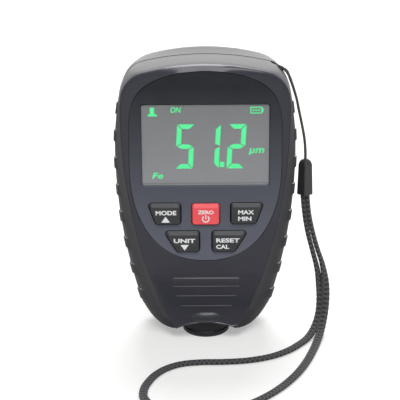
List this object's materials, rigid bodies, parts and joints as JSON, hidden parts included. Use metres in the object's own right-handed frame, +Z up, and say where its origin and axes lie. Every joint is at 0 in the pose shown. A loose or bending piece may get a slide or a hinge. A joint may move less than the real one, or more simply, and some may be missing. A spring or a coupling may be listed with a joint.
{
  "type": "coating thickness gauge",
  "caption": "Pocket coating thickness gauge: two-shell housing with side grips, shield face, display, keys, spring-loaded probe foot, battery bay and wrist strap.",
  "frame": {"origin": "centre of the probe foot's contact plane, on the surface that the gauge stands on", "axes": "+Z up along the gauge's height, face towards -Y, +X to the right of the face"},
  "size_m": [0.075, 0.0824, 0.1002],
  "materials": {
    "housing": "fine moulded texture, satin",
    "panel": "smooth satin",
    "window": "clear acrylic",
    "display": "grey display glass",
    "backlight": "milky light guide",
    "connector_rubber": "striped silicone",
    "board": "solder mask",
    "chip": "moulded",
    "contact_metal": "nickel plated",
    "mat_rubber": "silicone",
    "key_rubber": "satin silicone",
    "power_rubber": "satin silicone",
    "cell": "plain sleeve",
    "foot": "satin",
    "pole": "ground tip",
    "bobbin": "moulded",
    "winding": "enamelled wire",
    "screw": "zinc plated",
    "strap": "woven braid",
    "clasp": "satin"
  },
  "bodies": {
    "housing": {"front_shell": "housing", "rear_shell": "housing", "face_panel": "panel", "display_window": "window", "lcd_glass": "display", "lcd_backlight": "backlight", "zebra_strip": "connector_rubber", "main_board": "board", "microcontroller": "chip", "key_domes": "contact_metal", "buzzer": "chip", "keypad_mat": "mat_rubber", "battery_cell_left": "cell", "battery_cell_right": "cell", "battery_springs": "contact_metal", "battery_contacts": "contact_metal", "probe_sleeve": "foot", "probe_spring": "contact_metal", "probe_cap": "foot", "housing_screws": "screw", "board_screws": "screw", "strap_pin": "screw", "strap_thread": "strap", "strap_clasp": "clasp", "strap_loop": "strap"},
    "mode_key": {"key_mode_up": "key_rubber"},
    "power_key": {"key_power": "power_rubber"},
    "max_min_key": {"key_max_min": "key_rubber"},
    "unit_key": {"key_unit_down": "key_rubber"},
    "cal_key": {"key_cal": "key_rubber"},
    "cover": {"battery_cover": "housing"},
    "probe_core": {"probe_pole": "pole", "probe_bobbin": "bobbin", "probe_coil": "winding"}
  },
  "joints": [
    {"name": "mode_key_press", "type": "slide", "parent": "housing", "child": "mode_key", "axis": [0, 1, 0], "range_m": [0, 0.0006], "stiffness_N_per_m": 800},
    {"name": "power_key_press", "type": "slide", "parent": "housing", "child": "power_key", "axis": [0, 1, 0], "range_m": [0, 0.0006], "stiffness_N_per_m": 800},
    {"name": "max_min_key_press", "type": "slide", "parent": "housing", "child": "max_min_key", "axis": [0, 1, 0], "range_m": [0, 0.0006], "stiffness_N_per_m": 800},
    {"name": "unit_key_press", "type": "slide", "parent": "housing", "child": "unit_key", "axis": [0, 1, 0], "range_m": [0, 0.0006], "stiffness_N_per_m": 800},
    {"name": "cal_key_press", "type": "slide", "parent": "housing", "child": "cal_key", "axis": [0, 1, 0], "range_m": [0, 0.0006], "stiffness_N_per_m": 800},
    {"name": "battery_cover_swing", "type": "hinge", "parent": "housing", "child": "cover", "pos_m": [0, 0.013, 0.0329], "axis": [-1, 0, 0], "range_deg": [0, 60]},
    {"name": "probe_slide", "type": "slide", "parent": "housing", "child": "probe_core", "axis": [0, 0, -1], "range_m": [0, 0.0008], "stiffness_N_per_m": 300, "springref_m": 0.0008, "deforming": ["probe_spring"]}
  ]
}
